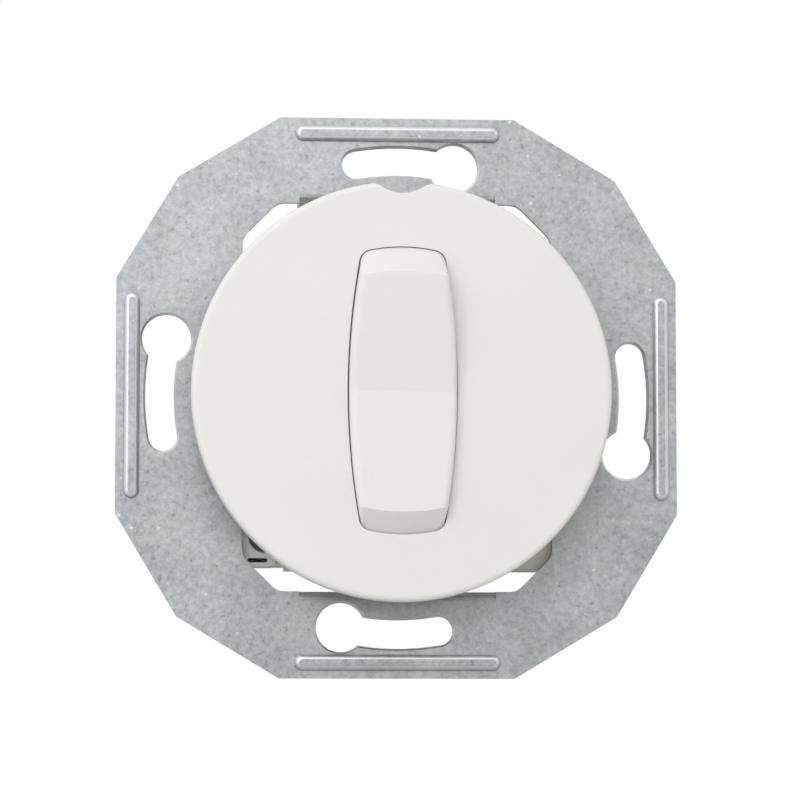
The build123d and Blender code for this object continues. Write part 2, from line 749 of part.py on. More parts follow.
# Wire clamps: four bent leaf springs, one beside each wire entry
leaf_places = [
    ("clamp_spring_upper_left", -1, 1),
    ("clamp_spring_upper_right", 1, 1),
    ("clamp_spring_lower_left", -1, -1),
    ("clamp_spring_lower_right", 1, -1),
]
for name, side, up in leaf_places:
    with BuildPart() as clamp_spring:
        with BuildSketch(Plane.XY.offset(up * terminal_z - leaf_width / 2)):
            with BuildLine() as leaf:
                FilletPolyline(
                    (side * leaf_outer_x, -leaf_end_height),
                    (side * leaf_outer_x, -leaf_front),
                    (side * leaf_inner_x, -leaf_front),
                    (side * leaf_tip_x, -leaf_tip_height),
                    radius=leaf_bend,
                )
            trace(leaf.line, line_width=leaf_thickness)
        extrude(amount=leaf_width)
    clamp_spring.part.label = name
    export_step(clamp_spring.part, f"parts/{name}.step")

# Release levers: each bar lies over two wire clamps and presses them open with its fingers
for name, side in (("release_lever_left", -1), ("release_lever_right", 1)):
    with BuildPart() as release_lever:
        with BuildSketch(level(lever_front)):
            with Locations((side * (lever_inner_x + lever_outer_x) / 2, 0)):
                Rectangle(lever_outer_x - lever_inner_x, 2 * lever_reach_z)
            for up in (-1, 1):
                with Locations((side * (finger_x + lever_inner_x) / 2, up * terminal_z)):
                    Rectangle(lever_inner_x - finger_x, finger_width)
        extrude(amount=-lever_thickness)
        fillet(release_lever.edges().filter_by(Axis.Y), radius=lever_edge_radius)
        if side < 0:
            with BuildSketch(level(lever_front)):
                with Locations((-lever_outer_x, pad_top_z - lever_thickness)):
                    Rectangle(lever_outer_x - pad_inner_x, lever_reach_z, align=(Align.MIN, Align.MIN))
            extrude(amount=-lever_thickness)
            with BuildSketch(level(pad_front)) as pad:
                add(base_outline(running_gap))
                with Locations((-pad_inner_x, pad_top_z)):
                    Rectangle(base_width, base_height, align=(Align.MAX, Align.MAX), mode=Mode.INTERSECT)
                fillet(pad.vertices().sort_by(Axis.X)[-2:], radius=pad_corner_radius)
            extrude(amount=-pad_depth)
            with BuildSketch(level(pad_front)) as recess:
                with Locations((pad_rim_x, pad_rim_z)):
                    Rectangle(lever_reach_z, lever_reach_z, align=(Align.MIN, Align.MIN))
                fillet(recess.vertices().sort_by(Axis.X)[:2].sort_by(Axis.Y)[:1], radius=pad_rim_radius)
            extrude(amount=lever_front - pad_front, mode=Mode.SUBTRACT)
            with BuildSketch(level(pad_front)):
                with Locations((pad_slot_x, pad_slot_z)):
                    SlotOverall(pad_slot_length, pad_slot_width)
            extrude(amount=-pad_slot_depth, mode=Mode.SUBTRACT)
        else:
            with BuildSketch(level(pad_front)):
                with Locations(((lever_inner_x + lever_outer_x) / 2 - fit_gap, stub_z)):
                    Rectangle(stub_width, stub_height)
                    SlotOverall(pad_slot_length, pad_slot_width, mode=Mode.SUBTRACT)
            extrude(amount=lever_front - pad_front)
    release_lever.part.label = name
    export_step(release_lever.part, f"parts/{name}.step")

# Fixing claws: on each side a captive screw, the nut that it draws forward and the claw hinged on the nut
for word, side in (("left", -1), ("right", 1)):
    with BuildPart() as claw_screw:
        with BuildSketch(level(screw_end_height)):
            with Locations((side * claw_screw_x, 0)):
                Circle(claw_screw_radius)
        extrude(amount=ring_thickness + screw_head_lift - screw_end_height)
        with BuildSketch(level(ring_thickness + screw_head_lift)):
            with Locations((side * claw_screw_x, 0)):
                Circle(screw_head_radius)
        extrude(amount=screw_head_height)
        fillet(claw_screw.edges().group_by(Axis.Y)[0], radius=screw_head_edge)
        with BuildSketch(level(ring_thickness + screw_head_lift + screw_head_height)):
            with Locations((side * claw_screw_x, 0)):
                Rectangle(screw_recess_length, screw_recess_width)
                Rectangle(screw_recess_width, screw_recess_length)
        extrude(amount=-screw_recess_depth, mode=Mode.SUBTRACT)
        chamfer(claw_screw.edges().group_by(Axis.Y)[-1], length=screw_point)
    claw_screw.part.label = f"claw_screw_{word}"
    export_step(claw_screw.part, f"parts/claw_screw_{word}.step")

    with BuildPart() as claw_nut:
        with BuildSketch(Plane.XY):
            with Locations((side * (half_base_width + running_gap), -nut_height)):
                nut_side = Align.MIN if side > 0 else Align.MAX
                nut_reach = claw_pin_x - half_base_width - running_gap
                Rectangle(nut_reach, nut_thickness, align=(nut_side, Align.CENTER))
            with Locations((side * claw_pin_x, -nut_height)):
                Circle(nut_end_radius)
        extrude(amount=nut_half_width, both=True)
        with BuildSketch(Plane.XY):
            with Locations((side * claw_pin_x, -nut_height)):
                Circle(claw_pin_radius)
        extrude(amount=ear_outer + claw_pin_proud, both=True)
        with BuildSketch(level(nut_height)):
            with Locations((side * claw_screw_x, 0)):
                Circle(claw_screw_radius + claw_screw_play)
        extrude(amount=nut_thickness, both=True, mode=Mode.SUBTRACT)
    claw_nut.part.label = f"claw_nut_{word}"
    export_step(claw_nut.part, f"parts/claw_nut_{word}.step")

    plate_middle = claw_pin_x + nut_end_radius + claw_plate_gap + claw_thickness / 2
    with BuildPart() as claw:
        with BuildSketch(Plane.XY):
            with BuildLine() as strip:
                FilletPolyline(
                    (side * plate_middle, -claw_rear_height),
                    (side * plate_middle, -claw_bend_height),
                    (side * (plate_middle + claw_flare), -claw_front_height),
                    radius=claw_bend_radius,
                )
            trace(strip.line, line_width=claw_thickness)
        extrude(amount=ear_outer, both=True)
        with BuildSketch(Plane.YZ.offset(side * plate_middle)):
            with Locations((-claw_front_height, 0)):
                Rectangle(claw_notch, claw_notch)
        extrude(amount=2 * claw_thickness, both=True, mode=Mode.SUBTRACT)
        for up in (-1, 1):
            with BuildSketch(Plane.XY.offset(up * ear_inner)):
                with Locations((side * claw_pin_x, -nut_height)):
                    Circle(nut_end_radius + claw_plate_gap)
                    ear_side = Align.MIN if side > 0 else Align.MAX
                    ear_size = nut_end_radius + claw_plate_gap
                    Rectangle(ear_size + claw_thickness, 2 * ear_size, align=(ear_side, Align.CENTER))
                    Circle(claw_pin_radius + claw_pin_play, mode=Mode.SUBTRACT)
            extrude(amount=up * (ear_outer - ear_inner))
    claw.part.label = f"claw_{word}"
    export_step(claw.part, f"parts/claw_{word}.step")

export_step(mounting_ring.part, "parts/mounting_ring.step")
export_step(base_housing.part, "parts/base_housing.step")
export_step(mechanism_cover.part, "parts/mechanism_cover.step")
export_step(cover_disc.part, "parts/cover_disc.step")
export_step(rocker_button.part, "parts/rocker_button.step")
export_step(rocker_carrier.part, "parts/rocker_carrier.step")
export_step(contact_spring.part, "parts/contact_spring.step")
export_step(spring_plunger.part, "parts/spring_plunger.step")
export_step(moving_contact.part, "parts/moving_contact.step")
export_step(moving_contact_tips.part, "parts/moving_contact_tips.step")
export_step(common_terminal.part, "parts/common_terminal.step")
export_step(fixed_contact_tips.part, "parts/fixed_contact_tips.step")
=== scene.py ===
import math
import bpy
import numpy as np
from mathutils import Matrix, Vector


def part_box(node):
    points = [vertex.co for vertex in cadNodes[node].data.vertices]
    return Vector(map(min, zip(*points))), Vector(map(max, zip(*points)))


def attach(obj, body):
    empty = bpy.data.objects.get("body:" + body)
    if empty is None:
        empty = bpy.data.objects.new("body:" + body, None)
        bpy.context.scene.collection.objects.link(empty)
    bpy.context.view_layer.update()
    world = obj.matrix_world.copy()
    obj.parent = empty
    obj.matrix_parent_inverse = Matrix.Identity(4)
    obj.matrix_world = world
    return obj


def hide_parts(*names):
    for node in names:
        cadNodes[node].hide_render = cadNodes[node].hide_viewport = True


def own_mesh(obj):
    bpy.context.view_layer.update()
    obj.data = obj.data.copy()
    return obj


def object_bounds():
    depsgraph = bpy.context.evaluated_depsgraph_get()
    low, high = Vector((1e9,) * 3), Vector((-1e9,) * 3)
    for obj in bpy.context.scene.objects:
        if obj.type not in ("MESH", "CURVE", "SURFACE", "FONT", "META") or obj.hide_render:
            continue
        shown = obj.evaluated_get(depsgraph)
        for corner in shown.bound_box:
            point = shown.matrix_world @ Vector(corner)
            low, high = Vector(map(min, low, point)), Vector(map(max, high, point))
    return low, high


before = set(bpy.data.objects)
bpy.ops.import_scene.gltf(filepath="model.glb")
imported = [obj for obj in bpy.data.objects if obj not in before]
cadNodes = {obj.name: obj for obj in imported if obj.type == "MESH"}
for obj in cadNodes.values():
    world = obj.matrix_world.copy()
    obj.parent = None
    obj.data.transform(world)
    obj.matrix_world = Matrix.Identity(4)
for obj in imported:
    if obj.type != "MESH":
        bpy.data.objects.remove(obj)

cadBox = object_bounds()  # the CAD model's box, before anything is dressed
millimetre = 0.001
touching = 0.02  # how near in millimetres a point counts as on a packed face
smoothBelow = 32.0  # degrees between two faces up to which a new piece's edge is smooth


# Adds a node to a tree with its settings, and gives each input a plain value or a link
def addNode(tree, kind, inputs=None, **settings):
    made = tree.nodes.new(kind)
    for name, value in settings.items():
        setattr(made, name, value)
    for name, value in (inputs or {}).items():
        if isinstance(value, bpy.types.NodeSocket):
            tree.links.new(value, made.inputs[name])
        else:
            made.inputs[name].default_value = value
    return made


# One arithmetic step
def sums(tree, operation, first, second):
    return addNode(tree, "ShaderNodeMath", {0: first, 1: second}, operation=operation).outputs[0]


# Spreads a value from one range over another and stops at its ends
def spread(tree, value, low, high, toLow=0.0, toHigh=1.0, soft=False):
    ranges = {"Value": value, "From Min": low, "From Max": high, "To Min": toLow, "To Max": toHigh}
    kind = "SMOOTHSTEP" if soft else "LINEAR"
    return addNode(tree, "ShaderNodeMapRange", ranges, interpolation_type=kind).outputs[0]


# Blends two values by a share; a mix node's number sockets are 0, 2 and 3
def blendValues(tree, share, first, second):
    return addNode(tree, "ShaderNodeMix", {0: share, 2: first, 3: second}).outputs[0]


# Noise whose patches have about the given size in millimetres
def noiseOfSize(tree, vector, size, detail=3.0, roughness=0.5):
    inputs = {"Vector": vector, "Scale": sums(tree, "DIVIDE", 1.0, size), "Detail": detail, "Roughness": roughness}
    return addNode(tree, "ShaderNodeTexNoise", inputs).outputs["Fac"]


# Starts a node group: Vector comes in as millimetres, all other sockets are numbers
def startGroup(name, inputs, outputs):
    tree = bpy.data.node_groups.new(name, "ShaderNodeTree")
    for label, value in inputs.items():
        kind = "NodeSocketVector" if label == "Vector" else "NodeSocketFloat"
        socket = tree.interface.new_socket(label, in_out="INPUT", socket_type=kind)
        if label != "Vector":
            socket.default_value = value
    for label in outputs:
        tree.interface.new_socket(label, in_out="OUTPUT", socket_type="NodeSocketFloat")
    return tree, tree.nodes.new("NodeGroupInput").outputs, tree.nodes.new("NodeGroupOutput").inputs


# Skin of a moulding: the fine even grain that the mould leaves, over a slow mottle
def makeMouldedSkin():
    tree, take, give = startGroup(
        "mouldedSkin", {"Vector": None, "Grain size": 0.2, "Mottle size": 9.0}, ("Tone", "Gloss", "Height")
    )
    grain = noiseOfSize(tree, take["Vector"], take["Grain size"], 2.0)
    mottle = noiseOfSize(tree, take["Vector"], take["Mottle size"], 4.0)
    tree.links.new(spread(tree, mottle, 0.35, 0.65), give["Tone"])
    tree.links.new(spread(tree, sums(tree, "ADD", grain, mottle), 0.8, 1.2), give["Gloss"])
    tree.links.new(grain, give["Height"])
    return tree


# Zinc coat: soft blotches under a fine grain, dark pits, a few pale flecks and a slow drift of the tint
def makeZincCoat():
    tree, take, give = startGroup(
        "zincCoat",
        {
            "Vector": None, "Grain size": 0.25, "Blotch size": 0.6, "Pit size": 0.5, "Fleck spacing": 2.2,
            "Cloud size": 6.0,
        },
        ("Tone", "Tint", "Pits", "Flecks", "Height"),
    )
    grain = noiseOfSize(tree, take["Vector"], take["Grain size"], 2.0, 0.5)
    blotch = noiseOfSize(tree, take["Vector"], take["Blotch size"], 3.0, 0.55)
    cloud = noiseOfSize(tree, take["Vector"], take["Cloud size"], 4.0)
    fine = blendValues(tree, 0.4, spread(tree, blotch, 0.3, 0.7), spread(tree, grain, 0.3, 0.7))
    tree.links.new(blendValues(tree, 0.3, fine, spread(tree, cloud, 0.3, 0.7)), give["Tone"])
    tree.links.new(fine, give["Height"])
    # tint, pits and flecks read the noise elsewhere, so they don't follow the tone
    elsewhere = {0: take["Vector"], 1: (31.0, 17.0, 53.0)}
    moved = addNode(tree, "ShaderNodeVectorMath", elsewhere, operation="ADD").outputs[0]
    tint = noiseOfSize(tree, moved, sums(tree, "MULTIPLY", take["Cloud size"], 0.6), 3.0)
    tree.links.new(spread(tree, tint, 0.35, 0.65), give["Tint"])
    pit = noiseOfSize(tree, moved, take["Pit size"], 1.5, 0.4)
    tree.links.new(spread(tree, pit, 0.38, 0.24, soft=True), give["Pits"])
    cells = {"Vector": moved, "Scale": sums(tree, "DIVIDE", 1.0, take["Fleck spacing"])}
    distance = addNode(tree, "ShaderNodeTexVoronoi", cells).outputs["Distance"]
    near = spread(tree, distance, 0.11, 0.05, soft=True)
    tree.links.new(sums(tree, "MULTIPLY", near, spread(tree, blotch, 0.5, 0.62)), give["Flecks"])
    return tree


# Drawn marks: noise stretched along the first axis of the vector it is given
def makeDrawnMarks():
    tree, take, give = startGroup(
        "drawnMarks", {"Vector": None, "Mark width": 0.15, "Mark length": 6.0}, ("Marks",)
    )
    parts = addNode(tree, "ShaderNodeSeparateXYZ", {0: take["Vector"]}).outputs
    stretched = addNode(tree, "ShaderNodeCombineXYZ", {
        "X": sums(tree, "DIVIDE", parts["X"], take["Mark length"]),
        "Y": sums(tree, "DIVIDE", parts["Y"], take["Mark width"]),
        "Z": sums(tree, "DIVIDE", parts["Z"], take["Mark width"]),
    }).outputs[0]
    marks = addNode(tree, "ShaderNodeTexNoise", {"Vector": stretched, "Scale": 1.0, "Detail": 3.0}).outputs["Fac"]
    tree.links.new(spread(tree, marks, 0.3, 0.7), give["Marks"])
    return tree


# Painted edge highlight: faces that neither face along the depth nor stand square to it, as punched and rolled
# edges do; the metals paint them lighter as if lit
def makePaintedEdgeHighlight():
    tree, take, give = startGroup("paintedEdgeHighlight", {"Steep": 0.25, "Flat": 0.985}, ("Mask",))
    normal = tree.nodes.new("ShaderNodeTexCoord").outputs["Normal"]
    facing = addNode(tree, "ShaderNodeSeparateXYZ", {0: normal}).outputs["Y"]
    size = addNode(tree, "ShaderNodeMath", {0: facing}, operation="ABSOLUTE").outputs[0]
    above = sums(tree, "GREATER_THAN", size, take["Steep"])
    below = sums(tree, "LESS_THAN", size, take["Flat"])
    tree.links.new(sums(tree, "MULTIPLY", above, below), give["Mask"])
    return tree


# Settled dust: fine specks, where noise passes an edge that a larger share lowers
def makeSettledDust():
    tree, take, give = startGroup("settledDust", {"Vector": None, "Speck size": 0.5, "Share": 0.3}, ("Mask",))
    specks = noiseOfSize(tree, take["Vector"], take["Speck size"], 2.0)
    edge = sums(tree, "SUBTRACT", 0.9, sums(tree, "MULTIPLY", take["Share"], 0.5))
    tree.links.new(spread(tree, specks, edge, sums(tree, "ADD", edge, 0.06)), give["Mask"])
    return tree


groups = {
    "mouldedSkin": makeMouldedSkin(),
    "zincCoat": makeZincCoat(),
    "drawnMarks": makeDrawnMarks(),
    "paintedEdgeHighlight": makePaintedEdgeHighlight(),
    "settledDust": makeSettledDust(),
}
print("node groups made:", len(groups))


# Places a shared group in a material with its own values
def placeGroup(tree, name, inputs=None):
    return addNode(tree, "ShaderNodeGroup", inputs, node_tree=groups[name]).outputs


# A new material with its object coordinates in millimetres, turned for the piece by degrees
def startMaterial(name, turn=(0.0, 0.0, 0.0)):
    made = bpy.data.materials.new(name)
    made.use_nodes = True
    tree = made.node_tree
    tree.nodes.clear()
    place = tree.nodes.new("ShaderNodeTexCoord").outputs["Object"]
    turned = tuple(math.radians(angle) for angle in turn)
    inputs = {"Vector": place, "Rotation": turned, "Scale": (1.0 / millimetre,) * 3}
    return made, tree, addNode(tree, "ShaderNodeMapping", inputs).outputs[0]


# Blends two colours by a mask; a mix node's colour sockets are 6 and 7
def blendColours(tree, mask, first, second):
    mixed = addNode(tree, "ShaderNodeMix", data_type="RGBA")
    for socket, value in ((mixed.inputs[0], mask), (mixed.inputs[6], first), (mixed.inputs[7], second)):
        if isinstance(value, bpy.types.NodeSocket):
            tree.links.new(value, socket)
        else:
            socket.default_value = value if isinstance(value, float) else (*value, 1.0)
    return mixed.outputs[2]


# Lays colours over a colour, each by its mask times its own share
def layColours(tree, colour, look, masks):
    for word, mask in masks.items():
        share = sums(tree, "MULTIPLY", mask, look[f"{word}Share"])
        colour = blendColours(tree, share, colour, look[f"{word}Colour"])
    return colour


# A bump from a height between 0 and 1 and its depth in metres
def raiseBump(tree, height, depth):
    return addNode(tree, "ShaderNodeBump", {"Height": height, "Distance": depth, "Strength": 1.0}).outputs[0]


# Ends a material in its shader: uniform numbers sit on the shader's own sockets
def closeMaterial(tree, colour, roughness, normal, **uniform):
    inputs = {"Base Color": colour, "Roughness": roughness, "Normal": normal}
    for label, value in uniform.items():
        inputs[label.replace("_", " ")] = value
    shader = addNode(tree, "ShaderNodeBsdfPrincipled", inputs)
    addNode(tree, "ShaderNodeOutputMaterial", {"Surface": shader.outputs[0]})


# Moulded plastic of one colour
def makePlastic(name, look):
    made, tree, vector = startMaterial(name)
    skin = placeGroup(tree, "mouldedSkin", {
        "Vector": vector, "Grain size": look["grainSize"], "Mottle size": look["mottleSize"],
    })
    dust = placeGroup(tree, "settledDust", {
        "Vector": vector, "Speck size": look["dustSize"], "Share": look["dustShare"],
    })["Mask"]
    colour = blendColours(tree, skin["Tone"], look["colour"], look["mottleColour"])
    colour = blendColours(tree, dust, colour, look["dustColour"])
    roughness = spread(tree, skin["Gloss"], 0.0, 1.0, look["glossy"], look["dull"])
    normal = raiseBump(tree, skin["Height"], look["grainDepth"] * millimetre)
    closeMaterial(
        tree, colour, roughness, normal, IOR=look["bend"], Subsurface_Weight=look["milk"],
        Subsurface_Radius=look["milkReach"], Subsurface_Scale=look["milkDepth"] * millimetre,
    )
    return made


coverPlasticLook = {
    "colour": (0.795, 0.787, 0.772), "mottleColour": (0.782, 0.774, 0.758), "dustColour": (0.70, 0.68, 0.65),
    "grainSize": 0.16, "grainDepth": 0.0035, "mottleSize": 11.0, "dustSize": 0.5, "dustShare": 0.22,
    "glossy": 0.46, "dull": 0.56, "bend": 1.46, "milk": 0.35, "milkReach": (1.0, 0.92, 0.62), "milkDepth": 0.9,
}
basePlasticLook = {
    "colour": (0.700, 0.685, 0.610), "mottleColour": (0.665, 0.650, 0.575), "dustColour": (0.42, 0.40, 0.35),
    "grainSize": 0.25, "grainDepth": 0.008, "mottleSize": 5.0, "dustSize": 0.4, "dustShare": 0.45,
    "glossy": 0.48, "dull": 0.62, "bend": 1.50, "milk": 0.12, "milkReach": (1.0, 0.9, 0.6), "milkDepth": 0.6,
}
innerPlasticLook = {
    "colour": (0.660, 0.655, 0.640), "mottleColour": (0.630, 0.625, 0.610), "dustColour": (0.50, 0.49, 0.46),
    "grainSize": 0.22, "grainDepth": 0.006, "mottleSize": 4.0, "dustSize": 0.4, "dustShare": 0.35,
    "glossy": 0.42, "dull": 0.55, "bend": 1.50, "milk": 0.12, "milkReach": (1.0, 0.9, 0.7), "milkDepth": 0.6,
}
leverPlasticLook = {
    "colour": (0.720, 0.720, 0.700), "mottleColour": (0.690, 0.690, 0.670), "dustColour": (0.50, 0.50, 0.49),
    "grainSize": 0.20, "grainDepth": 0.005, "mottleSize": 3.0, "dustSize": 0.35, "dustShare": 0.30,
    "glossy": 0.40, "dull": 0.52, "bend": 1.50, "milk": 0.12, "milkReach": (1.0, 0.9, 0.7), "milkDepth": 0.6,
}


# Metal under a zinc coat, with a painted highlight on its slanted edge faces
def makeCoatedSteel(name, look):
    made, tree, vector = startMaterial(name, turn=look["turn"])
    coat = placeGroup(tree, "zincCoat", {
        "Vector": vector, "Grain size": look["grainSize"], "Blotch size": look["blotchSize"],
        "Pit size": look["pitSize"], "Fleck spacing": look["fleckSpacing"], "Cloud size": look["cloudSize"],
    })
    marks = placeGroup(tree, "drawnMarks", {
        "Vector": vector, "Mark width": look["markWidth"], "Mark length": look["markLength"],
    })["Marks"]
    edge = placeGroup(tree, "paintedEdgeHighlight")["Mask"]
    colour = blendColours(tree, coat["Tone"], look["darkTone"], look["lightTone"])
    tinted = blendColours(tree, coat["Tone"], look["darkTint"], look["lightTint"])
    colour = blendColours(tree, coat["Tint"], colour, tinted)
    # the edge colour laid here is a painted highlight on slanted edge faces; pits and flecks are the coat's own
    colour = layColours(tree, colour, look, {"pit": coat["Pits"], "fleck": coat["Flecks"], "edge": edge})
    rough = blendValues(tree, look["markShare"], coat["Tone"], marks)
    roughness = spread(tree, rough, 0.2, 0.8, look["glossy"], look["dull"])
    height = blendValues(tree, look["markShare"], coat["Height"], marks)
    normal = raiseBump(tree, height, look["grainDepth"] * millimetre)
    closeMaterial(tree, colour, roughness, normal, Metallic=1.0)
    return made


# edgeColour and edgeShare set the painted highlight on slanted edge faces
zincSteelLook = {
    "darkTone": (0.275, 0.284, 0.302), "lightTone": (0.575, 0.588, 0.612), "darkTint": (0.276, 0.290, 0.288),
    "lightTint": (0.572, 0.592, 0.586), "pitColour": (0.235, 0.240, 0.250), "pitShare": 0.7,
    "fleckColour": (0.82, 0.83, 0.84), "fleckShare": 0.8, "edgeColour": (0.88, 0.89, 0.90), "edgeShare": 0.6,
    "grainSize": 0.30, "blotchSize": 0.85, "pitSize": 0.80, "fleckSpacing": 2.6, "cloudSize": 7.0,
    "markWidth": 0.12, "markLength": 5.0, "markShare": 0.25, "grainDepth": 0.006, "glossy": 0.40, "dull": 0.56,
    "turn": (0.0, 0.0, 0.0),
}
screwSteelLook = {
    "darkTone": (0.500, 0.510, 0.525), "lightTone": (0.640, 0.650, 0.660), "darkTint": (0.520, 0.515, 0.480),
    "lightTint": (0.660, 0.655, 0.620), "pitColour": (0.34, 0.34, 0.34), "pitShare": 0.5,
    "fleckColour": (0.86, 0.87, 0.87), "fleckShare": 0.5, "edgeColour": (0.86, 0.87, 0.88), "edgeShare": 0.4,
    "grainSize": 0.14, "blotchSize": 0.35, "pitSize": 0.30, "fleckSpacing": 1.5, "cloudSize": 3.0,
    "markWidth": 0.06, "markLength": 1.5, "markShare": 0.6, "grainDepth": 0.003, "glossy": 0.26, "dull": 0.40,
    "turn": (0.0, 0.0, 0.0),
}


# Rolled or drawn metal strip, with clouds of tarnish and a painted highlight on its slanted edge faces
def makeStrip(name, look):
    made, tree, vector = startMaterial(name, turn=look["turn"])
    marks = placeGroup(tree, "drawnMarks", {
        "Vector": vector, "Mark width": look["markWidth"], "Mark length": look["markLength"],
    })["Marks"]
    edge = placeGroup(tree, "paintedEdgeHighlight")["Mask"]
    cloud = spread(tree, noiseOfSize(tree, vector, look["cloudSize"], 4.0), 0.35, 0.65)
    colour = blendColours(tree, marks, look["darkTone"], look["lightTone"])
    # the tarnish is the metal's own; the edge colour is a painted highlight
    colour = layColours(tree, colour, look, {"tarnish": cloud, "edge": edge})
    roughness = spread(tree, sums(tree, "ADD", marks, cloud), 0.4, 1.6, look["glossy"], look["dull"])
    normal = raiseBump(tree, marks, look["markDepth"] * millimetre)
    closeMaterial(tree, colour, roughness, normal, Metallic=1.0)
    return made


# edgeColour and edgeShare set the painted highlight on slanted edge faces
springSteelLook = {
    "darkTone": (0.400, 0.405, 0.410), "lightTone": (0.520, 0.525, 0.530), "tarnishColour": (0.33, 0.32, 0.30),
    "edgeColour": (0.75, 0.75, 0.76), "edgeShare": 0.4, "tarnishShare": 0.4, "markWidth": 0.08,
    "markLength": 3.0, "markDepth": 0.002, "cloudSize": 2.0, "glossy": 0.24, "dull": 0.40, "turn": (0.0, 0.0, 90.0),
}
contactBrassLook = {
    "darkTone": (0.700, 0.520, 0.240), "lightTone": (0.800, 0.620, 0.320), "tarnishColour": (0.50, 0.33, 0.14),
    "edgeColour": (0.92, 0.76, 0.46), "edgeShare": 0.4, "tarnishShare": 0.35, "markWidth": 0.10,
    "markLength": 4.0, "markDepth": 0.002, "cloudSize": 2.5, "glossy": 0.26, "dull": 0.42, "turn": (0.0, 90.0, 0.0),
}
silverLook = {
    "darkTone": (0.780, 0.775, 0.760), "lightTone": (0.880, 0.875, 0.860), "tarnishColour": (0.55, 0.50, 0.42),
    "edgeColour": (0.93, 0.93, 0.92), "edgeShare": 0.3, "tarnishShare": 0.3, "markWidth": 0.05,
    "markLength": 0.6, "markDepth": 0.002, "cloudSize": 0.8, "glossy": 0.22, "dull": 0.38, "turn": (0.0, 0.0, 0.0),
}

finishes = {
    "cover_plastic": makePlastic("coverPlastic", coverPlasticLook),
    "base_plastic": makePlastic("basePlastic", basePlasticLook),
    "inner_plastic": makePlastic("innerPlastic", innerPlasticLook),
    "lever_plastic": makePlastic("leverPlastic", leverPlasticLook),
    "zinc_steel": makeCoatedSteel("zincSteel", zincSteelLook),
    "screw_steel": makeCoatedSteel("screwSteel", screwSteelLook),
    "spring_steel": makeStrip("springSteel", springSteelLook),
    "contact_brass": makeStrip("contactBrass", contactBrassLook),
    "silver": makeStrip("silver", silverLook),
}
print("materials made:", len(finishes))

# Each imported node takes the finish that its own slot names
for name, node in cadNodes.items():
    for place in node.material_slots:
        place.material = finishes[place.material.name.split(".")[0]]
print("finishes placed on", len(cadNodes), "nodes")


# A CAD node's points, triangles and corner normals, with the points that lie on one spot merged
def readNode(name):
    mesh = cadNodes[name].data
    points = np.empty(len(mesh.vertices) * 3)
    mesh.vertices.foreach_get("co", points)
    corners = np.empty(len(mesh.loops), dtype=np.int64)
    mesh.loops.foreach_get("vertex_index", corners)
    normals = np.empty(len(mesh.loops) * 3)
    mesh.corner_normals.foreach_get("vector", normals)
    points, merged = np.unique(np.round(points.reshape(-1, 3), 7), axis=0, return_inverse=True)
    triangles = merged.reshape(-1)[corners].reshape(-1, 3)
    ends = np.sort(triangles, axis=1)
    whole = (ends[:, 0] != ends[:, 1]) & (ends[:, 1] != ends[:, 2])
    return points, triangles[whole], normals.reshape(-1, 3, 3)[whole]


# A piece from points and faces, that rides on a body, takes a slot's finish and stands for a node. It keeps
# the corner normals that it is given
def addPiece(name, points, faces, body, slot, node, normals=None):
    mesh = bpy.data.meshes.new(name)
    mesh.from_pydata(points.tolist(), [], faces)
    mesh.polygons.foreach_set("use_smooth", np.ones(len(mesh.polygons), dtype=bool))
    if normals is None:
        mesh.set_sharp_from_angle(angle=math.radians(smoothBelow))
    else:
        mesh.normals_split_custom_set(normals.reshape(-1, 3).tolist())
    mesh.materials.append(finishes[slot])
    piece = bpy.data.objects.new(name, mesh)
    bpy.context.scene.collection.objects.link(piece)
    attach(piece, body)
    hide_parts(node)
    return piece


# A soft step from 0 to 1 between two values
def softStep(values, low, high):
    part = np.clip((values - low) / (high - low), 0.0, 1.0)
    return part * part * (3 - 2 * part)


# Mounting ring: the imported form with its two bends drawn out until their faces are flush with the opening's
# edge, and the relief slots beside them closed to a shear line. Heights on a bend spread evenly from their
# old range to the new one
ringBend = {
    "tabHalf": 12.4, "slotWidth": 0.5, "oldFace": 24.0, "oldLine": 25.5, "newFace": 24.6, "newLine": 25.7,
    "slotTop": 26.05, "slotWidthKept": 0.03, "slotTopKept": 0.1,
}


def makeRing():
    points, triangles, normals = readNode("mounting_ring")
    across, height = np.abs(points[:, 0]) / millimetre, np.abs(points[:, 2]) / millimetre
    face, line, half = ringBend["oldFace"], ringBend["oldLine"], ringBend["tabHalf"]
    tab = (across < half + touching) & (height > face - touching) & (height < line + touching)
    drawn = (height - face) / (line - face) * (ringBend["newLine"] - ringBend["newFace"]) + ringBend["newFace"]
    slot = (across > half - touching) & (across < half + ringBend["slotWidth"] + touching) & ~tab
    slot &= (height > face - touching) & (height < ringBend["slotTop"])
    slotEnd = ringBend["newLine"] + (height - line) * ringBend["slotTopKept"]
    raised = np.where(tab, drawn, np.where(slot & (height > line + touching), slotEnd, height))
    narrowed = np.where(slot, half + (across - half) * ringBend["slotWidthKept"], across)
    points[:, 0] = np.sign(points[:, 0]) * narrowed * millimetre
    points[:, 2] = np.sign(points[:, 2]) * raised * millimetre
    addPiece("ringPlate", points, triangles.tolist(), "body", "zinc_steel", "mounting_ring", normals)


# Cover disc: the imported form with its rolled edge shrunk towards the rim, in width and height alike. Beside
# the notch the points keep their distance from the centre. All drop onto the smaller roll, a quarter
# ellipse: its depth is its height, less its height times the root of one less the distance squared
discRoll = {
    "radius": 26.2, "front": 10.0, "width": 1.7, "height": 1.4, "kept": 0.42, "notchFrom": 4.4, "notchTo": 11.0,
    "miss": 0.02, "margin": 0.01,
}
